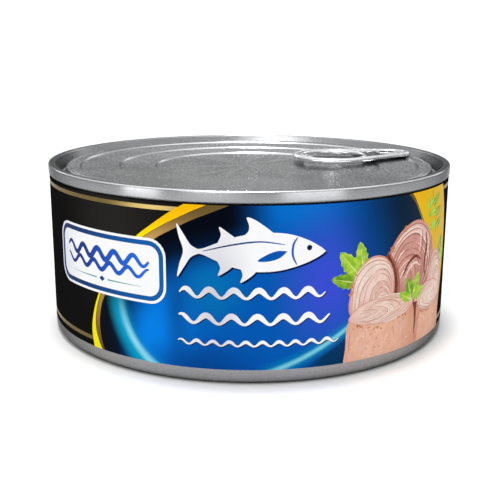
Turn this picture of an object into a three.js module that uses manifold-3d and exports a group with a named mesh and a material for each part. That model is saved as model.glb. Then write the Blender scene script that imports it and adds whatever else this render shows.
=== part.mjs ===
// A short, wide tuna can: a drawn body with its printed wall, an easy-open lid
// seamed on top, and the ring pull held by a rivet formed out of the lid.
// Millimetres, +Z up. Origin: centre of the underside, on the surface that the
// can stands on. The middle of the label faces -Y, the ring pull lies towards +X.
import * as THREE from "three";
import { mergeVertices } from "three/addons/utils/BufferGeometryUtils.js";
import Module from "manifold-3d";

const wasm = await Module();
wasm.setup();

// ---- driving dimensions -------------------------------------------------
const SEGMENTS = 72; // facets round every large turned surface

const CAN_HEIGHT = 36.0; // underside to the top of the seam
const SEAM_RADIUS = 43.65; // outside of the double seam
const SEAM_HEIGHT = 2.3; // visible height of the seam's outer face
const SEAM_WIDTH = 1.45; // radial thickness of the seam
const SEAM_ROUND = 0.35; // rounding of the seam's top edges

const WALL_RADIUS = 43.5; // printed wall, almost flush with the seam
const NECK_RADIUS = 43.05; // narrow groove between wall and seam
const NECK_HEIGHT = 0.25;
const HEEL_ROUND = 2.2; // rounded corner between the wall and the underside
const STAND_INNER = 39.4; // inner edge of the flat ring that the can stands on
const BASE_RECESS = 1.35; // how far the middle of the underside is raised
const BASE_BEAD = 0.5; // depth of the two plain beads in the underside
const BASE_BEAD_RADII = [31.5, 16.0];

const CHUCK_TOP_RADIUS = SEAM_RADIUS - SEAM_WIDTH; // inside of the seam
const CHUCK_FOOT_RADIUS = 41.25;
const GROOVE_RADIUS = 40.75; // middle of the countersink groove
const GROOVE_FLOOR = 33.05;
const PANEL_EDGE_RADIUS = 39.9; // raised edge of the lid's panel
const PANEL_LEVELS = [34.95, 34.65, 34.35, 34.0]; // from the edge inwards
const PANEL_STEPS = [36.9, 28.5, 20.6]; // radii of the three rings
const STEP_RUN = 0.45; // radial run of each step
const LID_FLOOR = 32.4; // underside of the lid
const PLUG_RADIUS = 41.95; // part of the lid inside the body
const PLUG_CLEARANCE = 0.05;

const TAB_ANGLE = 18.5; // degrees from +X towards +Y
const TAB_START = 11.0; // distance of the ring end from the can's axis
const TAB_LENGTH = 28.5;
const TAB_HALF_WIDTH = 9.3; // at the ring end
const TAB_NOSE_RADIUS = 4.6; // at the end over the score
const TAB_UNDERSIDE = 35.1;
const TAB_THICKNESS = 0.88;
const RING_UNDERSIDE = 34.78; // the finger end is rolled thicker, so it hangs lower
const RING_LENGTH = 17.0; // how far the thicker part runs from the ring end
const TAB_ROUND = 0.3; // rolled edge
const TAB_RIM = 1.7; // width of the rolled rim round the web
const WEB_THICKNESS = 0.25;
const FINGER_RADIUS = 6.8;
const FINGER_CENTRE = 9.4; // from the ring end
const RIVET_AT = 34.0; // distance of the rivet from the can's axis
const RIVET_POST_RADIUS = 1.6;
const RIVET_HEAD_RADIUS = 2.35;
const RIVET_HEAD_UNDER = 35.5;
const RIVET_TOP = 35.95;
const RIVET_HOLE_RADIUS = 1.95;

// ---- helpers --------------------------------------------------------------
const rad = THREE.MathUtils.degToRad;

// Points of a rounded corner: centre (cx, cy), from angle a to angle b.
function arc(cx, cy, r, a, b, steps) {
  const out = [];
  for (let i = 0; i <= steps; i++) {
    const t = rad(a + ((b - a) * i) / steps);
    out.push([cx + r * Math.cos(t), cy + r * Math.sin(t)]);
  }
  return out;
}

// A turned solid: the profile is (radius, height), from the axis round the
// outside and back to the axis.
function turned(profile, segments = SEGMENTS) {
  const g = new THREE.LatheGeometry(
    profile.map(([r, z]) => new THREE.Vector2(r, z)),
    segments,
  );
  return g.rotateX(Math.PI / 2);
}

// A closed geometry as a solid that can be joined or cut.
function solid(geometry) {
  const g = geometry.clone();
  g.deleteAttribute("normal");
  g.deleteAttribute("uv");
  const m = mergeVertices(g, 1e-4);
  return new wasm.Manifold(
    new wasm.Mesh({
      numProp: 3,
      vertProperties: new Float32Array(m.attributes.position.array),
      triVerts: new Uint32Array(m.index.array),
    }),
  );
}

// And back again.
function geometryOf(manifold) {
  const m = manifold.getMesh();
  const g = new THREE.BufferGeometry();
  g.setAttribute("position", new THREE.BufferAttribute(m.vertProperties, 3));
  g.setIndex(new THREE.BufferAttribute(m.triVerts, 1));
  g.computeVertexNormals();
  return g;
}

function extruded(shape, z0, z1, round = 0, curveSegments = 24) {
  const g = new THREE.ExtrudeGeometry(shape, {
    depth: z1 - z0 - 2 * round,
    bevelEnabled: round > 0,
    bevelThickness: round,
    bevelSize: round,
    bevelOffset: -round,
    bevelSegments: 3,
    curveSegments,
  });
  return g.translate(0, 0, z0 + round);
}

// ---- body -------------------------------------------------------------------
function bodyGeometry() {
  const wallTop = CAN_HEIGHT - SEAM_HEIGHT - NECK_HEIGHT;
  const p = [[0, BASE_RECESS]];
  for (const r of [...BASE_BEAD_RADII].reverse()) {
    p.push([r - 1.4, BASE_RECESS]);
    p.push([r - 0.7, BASE_RECESS - BASE_BEAD]);
    p.push([r + 0.7, BASE_RECESS - BASE_BEAD]);
    p.push([r + 1.4, BASE_RECESS]);
  }
  p.push([STAND_INNER - 1.5, BASE_RECESS]);
  p.push([STAND_INNER - 0.5, 0.35]);
  p.push([STAND_INNER, 0]);
  p.push(...arc(WALL_RADIUS - HEEL_ROUND, HEEL_ROUND, HEEL_ROUND, -90, 0, 5));
  p.push([WALL_RADIUS, wallTop]);
  p.push([NECK_RADIUS, wallTop + NECK_HEIGHT * 0.5]);
  p.push([NECK_RADIUS, wallTop + NECK_HEIGHT]);
  // the flange ends against the seam, and the lid drops inside it
  p.push([PLUG_RADIUS + PLUG_CLEARANCE, wallTop + NECK_HEIGHT]);
  p.push([PLUG_RADIUS + PLUG_CLEARANCE, LID_FLOOR]);
  p.push([0, LID_FLOOR]);
  return turned(p);
}

// ---- lid --------------------------------------------------------------------
function lidGeometry() {
  const seamFoot = CAN_HEIGHT - SEAM_HEIGHT;
  const r = SEAM_ROUND;
  const p = [
    [0, LID_FLOOR],
    [PLUG_RADIUS, LID_FLOOR],
    [PLUG_RADIUS, seamFoot],
    [SEAM_RADIUS - 0.3, seamFoot],
    [SEAM_RADIUS, seamFoot + 0.3],
  ];
  p.push(...arc(SEAM_RADIUS - r, CAN_HEIGHT - r, r, 0, 90, 3));
  p.push(...arc(CHUCK_TOP_RADIUS + r, CAN_HEIGHT - r, r, 90, 180, 3));
  p.push([CHUCK_FOOT_RADIUS, GROOVE_FLOOR + 0.35]);
  p.push([GROOVE_RADIUS + 0.2, GROOVE_FLOOR]);
  p.push([GROOVE_RADIUS - 0.2, GROOVE_FLOOR]);
  p.push([PANEL_EDGE_RADIUS + 0.25, GROOVE_FLOOR + 0.35]);
  p.push([PANEL_EDGE_RADIUS, PANEL_LEVELS[0] - 0.4]);
  p.push([PANEL_EDGE_RADIUS - 0.15, PANEL_LEVELS[0] - 0.12]);
  p.push([PANEL_EDGE_RADIUS - 0.5, PANEL_LEVELS[0]]);
  PANEL_STEPS.forEach((s, i) => {
    p.push([s + STEP_RUN / 2, PANEL_LEVELS[i]]);
    p.push([s - STEP_RUN / 2, PANEL_LEVELS[i + 1]]);
  });
  p.push([0, PANEL_LEVELS[PANEL_LEVELS.length - 1]]);

  // the rivet is drawn up out of the panel and headed over the ring pull
  const foot = PANEL_LEVELS[1] - 0.5;
  const rivet = turned(
    [
      [0, foot],
      [RIVET_POST_RADIUS, foot],
      [RIVET_POST_RADIUS, RIVET_HEAD_UNDER],
      [RIVET_HEAD_RADIUS, RIVET_HEAD_UNDER],
      [RIVET_HEAD_RADIUS, RIVET_TOP - 0.15],
      [RIVET_HEAD_RADIUS - 0.2, RIVET_TOP],
      [1.5, RIVET_TOP],
      [1.2, RIVET_TOP - 0.2],
      [0, RIVET_TOP - 0.2],
    ],
    24,
  );
  rivet.translate(
    RIVET_AT * Math.cos(rad(TAB_ANGLE)),
    RIVET_AT * Math.sin(rad(TAB_ANGLE)),
    0,
  );
  return geometryOf(solid(turned(p)).add(solid(rivet)));
}

// ---- ring pull --------------------------------------------------------------
// Outline of the ring pull in its own frame: x from the ring end to the nose.
// It is the hull of a large circle and a small one, grown by `grow`.
function tabOutline(grow, from = 0) {
  const big = TAB_HALF_WIDTH + grow;
  const small = TAB_NOSE_RADIUS + grow;
  const cBig = TAB_HALF_WIDTH;
  const cSmall = TAB_LENGTH - TAB_NOSE_RADIUS;
  const touch = Math.acos((big - small) / (cSmall - cBig)); // tangent angle
  const nose = [small * Math.cos(touch), small * Math.sin(touch)];
  // half width of the straight sides where the web begins
  const webHalf =
    big * Math.sin(touch) -
    (from - cBig - big * Math.cos(touch)) / Math.tan(touch);
  const shape = new THREE.Shape();
  if (from > 0) {
    shape.moveTo(from, -webHalf);
    shape.lineTo(cSmall + nose[0], -nose[1]);
  } else {
    shape.absarc(cBig, 0, big, touch, 2 * Math.PI - touch, false);
  }
  shape.absarc(cSmall, 0, small, -touch, touch, false);
  if (from > 0) shape.lineTo(from, webHalf);
  shape.closePath();
  return shape;
}

function tabGeometry() {
  const top = TAB_UNDERSIDE + TAB_THICKNESS;
  const flat = solid(extruded(tabOutline(0), TAB_UNDERSIDE, top, TAB_ROUND, 20));
  const thick = solid(extruded(tabOutline(0), RING_UNDERSIDE, top, 0.4, 20));
  const ringEnd = solid(
    new THREE.BoxGeometry(RING_LENGTH + 1, 30, 8).translate(
      (RING_LENGTH - 1) / 2,
      0,
      TAB_UNDERSIDE,
    ),
  );
  const plate = flat.add(thick.intersect(ringEnd));
  const mid = (RING_UNDERSIDE + top) / 2;
  const c = 0.3;
  const finger = turned(
    [
      [0, RING_UNDERSIDE - 1],
      [FINGER_RADIUS + c, RING_UNDERSIDE - 1],
      [FINGER_RADIUS + c, RING_UNDERSIDE],
      [FINGER_RADIUS, mid - 0.15],
      [FINGER_RADIUS, mid + 0.15],
      [FINGER_RADIUS + c, top],
      [FINGER_RADIUS + c, top + 1],
      [0, top + 1],
    ],
    48,
  ).translate(FINGER_CENTRE, 0, 0);
  const webStart = FINGER_CENTRE + FINGER_RADIUS + 1.3;
  const pocket = extruded(
    tabOutline(-TAB_RIM, webStart),
    TAB_UNDERSIDE + WEB_THICKNESS,
    top + 1,
    0,
    12,
  );
  const hole = turned(
    [
      [0, TAB_UNDERSIDE - 1],
      [RIVET_HOLE_RADIUS, TAB_UNDERSIDE - 1],
      [RIVET_HOLE_RADIUS, top + 1],
      [0, top + 1],
    ],
    24,
  ).translate(RIVET_AT - TAB_START, 0, 0);
  return geometryOf(
    plate.subtract(solid(finger)).subtract(solid(pocket)).subtract(solid(hole)),
  );
}

// ---- the can ------------------------------------------------------------------
const print = new THREE.MeshStandardMaterial({
  color: 0x14355f,
  roughness: 0.3,
  metalness: 0.1,
});
const tinplate = new THREE.MeshStandardMaterial({
  color: 0xa3a5a7,
  roughness: 0.35,
  metalness: 0.95,
});
const bright = new THREE.MeshStandardMaterial({
  color: 0xb6b8ba,
  roughness: 0.25,
  metalness: 0.95,
});

const can = new THREE.Group();
can.name = "tuna_can";

const body = new THREE.Mesh(bodyGeometry(), print);
body.name = "can_body";
can.add(body);

const lid = new THREE.Mesh(lidGeometry(), tinplate);
lid.name = "lid";
can.add(lid);

const tab = new THREE.Mesh(tabGeometry(), bright);
tab.name = "ring_pull";
tab.position.x = TAB_START;
const tabTurn = new THREE.Group();
tabTurn.rotation.z = rad(TAB_ANGLE);
tabTurn.add(tab);
can.add(tabTurn);

export default can;
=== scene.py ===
# Looks of a short, wide tuna can: printed wall, bare seam and heel, easy-open lid, ring pull.
# Lengths are written in millimetres and turned into metres when a mesh is made.
import math

import bmesh
import bpy
import numpy as np
from mathutils import Matrix, Vector
from mathutils.geometry import delaunay_2d_cdt


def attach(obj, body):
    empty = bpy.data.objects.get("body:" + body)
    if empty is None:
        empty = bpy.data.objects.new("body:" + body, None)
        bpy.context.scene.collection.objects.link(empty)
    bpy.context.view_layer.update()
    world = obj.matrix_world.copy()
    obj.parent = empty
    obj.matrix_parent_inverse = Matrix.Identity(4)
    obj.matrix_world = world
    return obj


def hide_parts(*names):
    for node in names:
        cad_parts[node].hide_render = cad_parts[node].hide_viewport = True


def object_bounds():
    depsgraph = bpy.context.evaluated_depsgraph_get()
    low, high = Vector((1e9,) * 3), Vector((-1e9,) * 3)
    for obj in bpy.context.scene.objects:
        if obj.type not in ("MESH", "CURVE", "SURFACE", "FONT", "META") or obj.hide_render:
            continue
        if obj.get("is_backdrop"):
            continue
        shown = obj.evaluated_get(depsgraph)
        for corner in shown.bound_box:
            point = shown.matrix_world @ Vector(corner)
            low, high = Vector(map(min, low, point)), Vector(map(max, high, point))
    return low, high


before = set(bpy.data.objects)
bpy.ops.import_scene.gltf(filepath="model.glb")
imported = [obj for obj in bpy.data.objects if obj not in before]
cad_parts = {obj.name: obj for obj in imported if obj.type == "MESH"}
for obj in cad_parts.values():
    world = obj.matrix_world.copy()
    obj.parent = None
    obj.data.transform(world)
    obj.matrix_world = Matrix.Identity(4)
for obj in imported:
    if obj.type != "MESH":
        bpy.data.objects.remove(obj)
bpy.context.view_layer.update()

MM = 0.001
scene = bpy.context.scene
scene.view_settings.view_transform = "Standard"
scene.view_settings.look = "None"

# ---- sizes, the same as the frame's -------------------------------------
CAN_HEIGHT = 36.0
SEAM_RADIUS, SEAM_HEIGHT, SEAM_WIDTH = 43.65, 2.3, 1.45
WALL = 43.5
WALL_TOP = CAN_HEIGHT - SEAM_HEIGHT - 0.25
PRINT_FOOT = 2.9
HEEL = 2.2
LID_FLOOR = 32.4
LEVELS = (34.95, 34.65, 34.35, 34.0)
STEPS = (36.9, 28.5, 20.6)
TAB_ANGLE = math.radians(18.5)
TAB_START, TAB_LENGTH, TAB_HALF, TAB_NOSE = 11.0, 28.5, 9.3, 4.6
TAB_UNDER, TAB_THICK = 35.1, 0.88
FINGER_R, FINGER_AT = 6.8, 9.4
RIVET_AT = 34.0

# ---- camera -----------------------------------------------------------------
cam_data = bpy.data.cameras.new("camera")
cam_data.lens = 61.14
cam_data.sensor_width = 36.0
cam_data.clip_start, cam_data.clip_end = 0.01, 50.0
cam = bpy.data.objects.new("camera", cam_data)
scene.collection.objects.link(cam)
pitch, roll = math.radians(14.136), math.radians(0.2685)
ahead = Vector((0, math.cos(pitch), -math.sin(pitch)))
right = Vector((1, 0, 0))
up = right.cross(ahead)
# the picture leans a little clockwise, so the camera leans the other way
r2 = right * math.cos(roll) + up * math.sin(roll)
u2 = up * math.cos(roll) - right * math.sin(roll)
cam.matrix_world = Matrix(
    (
        (r2.x, u2.x, -ahead.x, 0.0000431),
        (r2.y, u2.y, -ahead.y, -0.1884464),
        (r2.z, u2.z, -ahead.z, 0.0620487),
        (0, 0, 0, 1),
    )
)
scene.camera = cam


# ---- node helpers -------------------------------------------------------------
def rgb(r, g, b):
    """sRGB 0..255 to a linear colour."""
    def lin(v):
        v /= 255
        return v / 12.92 if v <= 0.04045 else ((v + 0.055) / 1.055) ** 2.4
    return (lin(r), lin(g), lin(b), 1.0)


class Nodes:
    """A material's node tree, with short names for the nodes used here."""

    def __init__(self, name):
        self.m = bpy.data.materials.new(name)
        self.m.use_nodes = True
        self.t = self.m.node_tree
        self.t.nodes.clear()
        self.out = self.t.nodes.new("ShaderNodeOutputMaterial")
        self.p = self.t.nodes.new("ShaderNodeBsdfPrincipled")
        self.t.links.new(self.p.outputs[0], self.out.inputs[0])
        self._xyz = None
        self._label = None

    def put(self, value, socket):
        if isinstance(value, (int, float)):
            socket.default_value = value
        elif isinstance(value, tuple):
            socket.default_value = value
        else:
            self.t.links.new(value, socket)

    def math(self, op, *values, clamp=False):
        n = self.t.nodes.new("ShaderNodeMath")
        n.operation = op
        n.use_clamp = clamp
        for i, v in enumerate(values):
            self.put(v, n.inputs[i])
        return n.outputs[0]

    def add(self, a, b): return self.math("ADD", a, b)
    def sub(self, a, b): return self.math("SUBTRACT", a, b)
    def mul(self, a, b): return self.math("MULTIPLY", a, b)

    def ramp(self, v, lo, hi, a=0.0, b=1.0, smooth=True):
        """a at lo to b at hi, eased."""
        n = self.t.nodes.new("ShaderNodeMapRange")
        n.interpolation_type = "SMOOTHSTEP" if smooth else "LINEAR"
        self.put(v, n.inputs["Value"])
        n.inputs["From Min"].default_value = lo
        n.inputs["From Max"].default_value = hi
        n.inputs["To Min"].default_value = a
        n.inputs["To Max"].default_value = b
        return n.outputs["Result"]

    def mix(self, fac, a, b, kind="MIX"):
        n = self.t.nodes.new("ShaderNodeMix")
        n.data_type = "RGBA"
        n.blend_type = kind
        n.clamp_factor = True
        self.put(fac, n.inputs["Factor"])
        self.put(a, n.inputs[6])
        self.put(b, n.inputs[7])
        return n.outputs[2]

    def xyz(self):
        """Object coordinates in millimetres."""
        if self._xyz is None:
            tc = self.t.nodes.new("ShaderNodeTexCoord")
            sc = self.t.nodes.new("ShaderNodeVectorMath")
            sc.operation = "SCALE"
            sc.inputs["Scale"].default_value = 1000.0
            self.t.links.new(tc.outputs["Object"], sc.inputs[0])
            sp = self.t.nodes.new("ShaderNodeSeparateXYZ")
            self.t.links.new(sc.outputs[0], sp.inputs[0])
            self._xyz = (sp.outputs[0], sp.outputs[1], sp.outputs[2], sc.outputs[0])
        return self._xyz

    def label(self):
        """(s, z): the distance round the wall from the middle of the label, and the height."""
        if self._label is None:
            x, y, z, _ = self.xyz()
            angle = self.math("ARCTAN2", x, self.mul(y, -1.0))
            self._label = (self.mul(angle, WALL), z)
        return self._label

    def polar(self):
        """(angle, distance from the can's axis)."""
        x, y, z, _ = self.xyz()
        angle = self.math("ARCTAN2", y, x)
        dist = self.math("SQRT", self.add(self.mul(x, x), self.mul(y, y)))
        return angle, dist

    def noise(self, vector, scale, detail=3.0, rough=0.5, distortion=0.0):
        n = self.t.nodes.new("ShaderNodeTexNoise")
        self.put(vector, n.inputs["Vector"])
        n.inputs["Scale"].default_value = scale
        n.inputs["Detail"].default_value = detail
        n.inputs["Roughness"].default_value = rough
        n.inputs["Distortion"].default_value = distortion
        return n.outputs["Fac"]

    def vec(self, x, y, z):
        n = self.t.nodes.new("ShaderNodeCombineXYZ")
        for v, s in zip((x, y, z), n.inputs):
            self.put(v, s)
        return n.outputs[0]

    def far(self, u, v, cu, cv, ru=1.0, rv=1.0):
        """Distance of (u, v) from a centre, in units of ru and rv."""
        du = self.mul(self.sub(u, cu), 1.0 / ru)
        dv = self.mul(self.sub(v, cv), 1.0 / rv)
        return self.math("SQRT", self.add(self.mul(du, du), self.mul(dv, dv)))

    def glow(self, u, v, cu, cv, ru, rv, power=1.0):
        """A soft round spot, 1 at its centre."""
        return self.mul(self.ramp(self.far(u, v, cu, cv, ru, rv), 0.0, 1.0, 1.0, 0.0), power)

    def bump(self, height, strength, distance):
        n = self.t.nodes.new("ShaderNodeBump")
        n.inputs["Strength"].default_value = strength
        n.inputs["Distance"].default_value = distance
        self.put(height, n.inputs["Height"])
        self.t.links.new(n.outputs[0], self.p.inputs["Normal"])

    def set(self, **kw):
        names = {
            "color": "Base Color", "rough": "Roughness", "metal": "Metallic",
            "spec": "Specular IOR Level", "coat": "Coat Weight",
            "coat_rough": "Coat Roughness", "aniso": "Anisotropic",
        }
        for k, v in kw.items():
            self.put(v, self.p.inputs[names[k]])


# ---- materials: printed inks ----------------------------------------------------
def ink(name, paint, metal=0.0, rough=0.34, spec=0.02, mottle=0.06):
    """A lacquered ink on the metal wall. paint(n, s, z) gives its colour."""
    n = Nodes(name)
    s, z = n.label()
    c = paint(n, s, z)
    _, _, _, v = n.xyz()
    fine = n.noise(v, 9.0, 2.0)
    broad = n.noise(v, 0.35, 2.0)
    c = n.mix(n.ramp(fine, 0.35, 0.65, 0.0, mottle), c, (0.0, 0.0, 0.0, 1.0))
    c = n.mix(n.ramp(broad, 0.4, 0.7, 0.0, mottle), c, (0.35, 0.35, 0.37, 1.0), "SOFT_LIGHT")
    n.set(color=c, metal=metal, spec=spec)
    n.set(rough=n.ramp(n.add(n.mul(fine, 0.4), n.mul(broad, 0.6)), 0.3, 0.7, rough - 0.04, rough + 0.05))
    n.bump(n.noise(v, 3.2, 3.0), 0.04, 0.00008)
    return n.m


def flat(*c):
    return lambda n, s, z: rgb(*c)


def across(u_of, lo, hi, a, b):
    """A plain blend from colour a to colour b along one direction."""
    return lambda n, s, z: n.mix(n.ramp(u_of(n, s, z), lo, hi), rgb(*a), rgb(*b))


along_s = lambda n, s, z: s
along_z = lambda n, s, z: z


def paint_black_with_highlight(n, s, z):
    # Painted highlight: a soft lighter patch high on the left of the black stands in for a lamp's sheen.
    return n.mix(n.glow(s, z, -27.0, 28.0, 17.0, 24.0), rgb(22, 21, 21), rgb(40, 39, 37))


def paint_yellow(n, s, z):
    warm = n.ramp(z, 24.0, 33.5)
    c = n.mix(warm, rgb(255, 240, 0), rgb(255, 188, 10))
    edge = n.ramp(s, 30.0, 44.0)
    return n.mix(edge, c, rgb(228, 184, 0))


def paint_gold_band(n, s, z):
    c = n.mix(n.ramp(z, 24.0, 33.0), rgb(205, 160, 92), rgb(104, 84, 44))
    low = n.mix(n.ramp(z, 2.0, 15.0), rgb(96, 74, 52), rgb(172, 136, 66))
    return n.mix(n.ramp(z, 17.0, 20.0), low, c)


def paint_gold_line(n, s, z):
    # Painted highlight: two soft lighter spots along the gold lines stand in for the lamps' sheen.
    painted_gold_sheen = n.add(n.glow(s, z, -17.5, 32.0, 11.5, 40.0), n.glow(s, z, 62.0, 18.0, 26.0, 60.0, 0.35))
    return n.mix(painted_gold_sheen, rgb(116, 98, 58), rgb(216, 188, 116))


def paint_blue(n, s, z):
    c = rgb(0, 88, 178)
    # bright on the left and along the top, violet right of the middle
    c = n.mix(n.glow(s, z, -19.5, 9.0, 14.0, 15.0, 1.0), c, rgb(0, 130, 232))
    c = n.mix(n.glow(s, z, 9.0, 35.0, 17.0, 10.0, 1.0), c, rgb(0, 112, 208))
    c = n.mix(n.glow(s, z, -6.5, 18.0, 8.5, 10.0, 0.75), c, rgb(2, 118, 176))
    c = n.mix(n.glow(s, z, -13.2, 13.0, 3.4, 15.0, 0.55), c, rgb(4, 68, 132))
    c = n.mix(n.glow(s, z, 15.0, 19.0, 12.5, 17.0, 1.0), c, rgb(58, 78, 212))
    c = n.mix(n.glow(s, z, 22.0, 18.0, 5.0, 14.0, 0.6), c, rgb(22, 58, 160))
    c = n.mix(n.glow(s, z, -8.5, 2.5, 15.0, 8.0, 0.9), c, rgb(0, 66, 142))
    # dark beside the gold band at the upper left, and towards the upper right
    rim = n.far(s, z, 2.0, 7.0, 33.9, 24.8)
    left_top = n.ramp(s, -5.0, 6.0, 1.0, 0.0)
    c = n.mix(n.mul(n.ramp(rim, 0.62, 0.86), left_top), c, rgb(0, 20, 46))
    c = n.mix(n.mul(n.ramp(rim, 0.80, 0.96), left_top), c, rgb(0, 4, 16))
    c = n.mix(n.ramp(n.add(s, n.mul(n.sub(z, 20.0), 0.35)), 16.0, 36.0), c, rgb(2, 32, 58))
    # arc of light low on the left
    d = n.far(s, z, -8.0, 15.6, 17.4, 16.0)
    below = n.ramp(z, 17.0, 6.0)
    left = n.ramp(s, -6.0, -16.0)
    halo = n.mul(n.mul(n.ramp(n.math("ABSOLUTE", n.sub(d, 1.05)), 0.0, 0.20, 1.0, 0.0), left), n.ramp(z, 19.0, 10.0))
    c = n.mix(halo, c, rgb(4, 160, 200))
    core = n.mul(n.mul(n.ramp(n.math("ABSOLUTE", n.sub(d, 1.0)), 0.0, 0.075, 1.0, 0.0), left), below)
    c = n.mix(core, c, rgb(140, 222, 244))
    # stripe of light low on the right, dark under its end
    t = n.sub(z, n.add(n.add(1.35, n.mul(s, 0.245)), n.mul(n.mul(s, s), 0.0105)))
    under = n.mul(n.ramp(t, -0.2, -2.6), n.ramp(s, 7.0, 15.0))
    c = n.mix(n.mul(under, 0.9), c, rgb(2, 48, 78))
    run = n.mul(n.ramp(s, 0.0, 5.0), n.ramp(s, 26.0, 17.0))
    wide = n.mul(n.ramp(n.math("ABSOLUTE", t), 0.0, 2.3, 1.0, 0.0), run)
    c = n.mix(n.mul(wide, 0.8), c, rgb(0, 138, 186))
    thin = n.mul(n.ramp(n.math("ABSOLUTE", t), 0.0, 0.85, 1.0, 0.0), run)
    c = n.mix(n.mul(thin, 0.85), c, rgb(132, 222, 232))
    return c


def paint_white(n, s, z):
    return n.mix(n.glow(s, z, -6.0, 16.0, 9.0, 22.0, 0.75), rgb(252, 252, 253), rgb(196, 196, 206))


def paint_plate_with_shade(n, s, z):
    # Painted shade: the white panel greys towards its left end, where the wall turns away.
    return n.mix(n.ramp(s, -46.0, -34.0), rgb(226, 230, 238), rgb(252, 252, 253))


def paint_border(n, s, z):
    return n.mix(n.ramp(s, -44.0, -15.0), rgb(24, 44, 96), rgb(20, 96, 172))


def paint_crest(n, s, z):
    return n.mix(n.ramp(s, -42.0, -18.0), rgb(28, 44, 120), rgb(38, 108, 226))


def flesh(light, dark, shade=None, middle=(0.0, 0.0), reach=(1.0, 1.0), angle=0.0, scale=1.2, stretch=3.0, fleck=0.0):
    """Cooked flesh: soft fibres along one direction, light in the middle and shaded away from it."""
    def paint(n, s, z):
        ca, sa = math.cos(angle), math.sin(angle)
        u = n.add(n.mul(s, ca), n.mul(z, sa))
        v = n.sub(n.mul(z, ca), n.mul(s, sa))
        grain = n.noise(n.vec(n.mul(u, 1.0 / stretch), v, 0.0), scale, 4.0, 0.6, 0.6)
        c = n.mix(n.ramp(grain, 0.34, 0.68), rgb(*light), rgb(*dark))
        if shade:
            c = n.mix(n.ramp(n.far(s, z, *middle, *reach), 0.25, 1.15, 0.0, 0.92), c, rgb(*shade))
        if fleck:
            spots = n.noise(n.vec(s, z, 4.0), 1.1, 4.0, 0.7)
            c = n.mix(n.ramp(spots, 0.58, 0.68, 0.0, fleck), c, rgb(192, 122, 70))
        return c
    return paint


def leaf_paint(light, dark):
    def paint(n, s, z):
        g = n.noise(n.vec(s, z, 0.0), 0.9, 3.0, 0.6)
        return n.mix(n.ramp(g, 0.35, 0.65), rgb(*dark), rgb(*light))
    return paint


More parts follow.
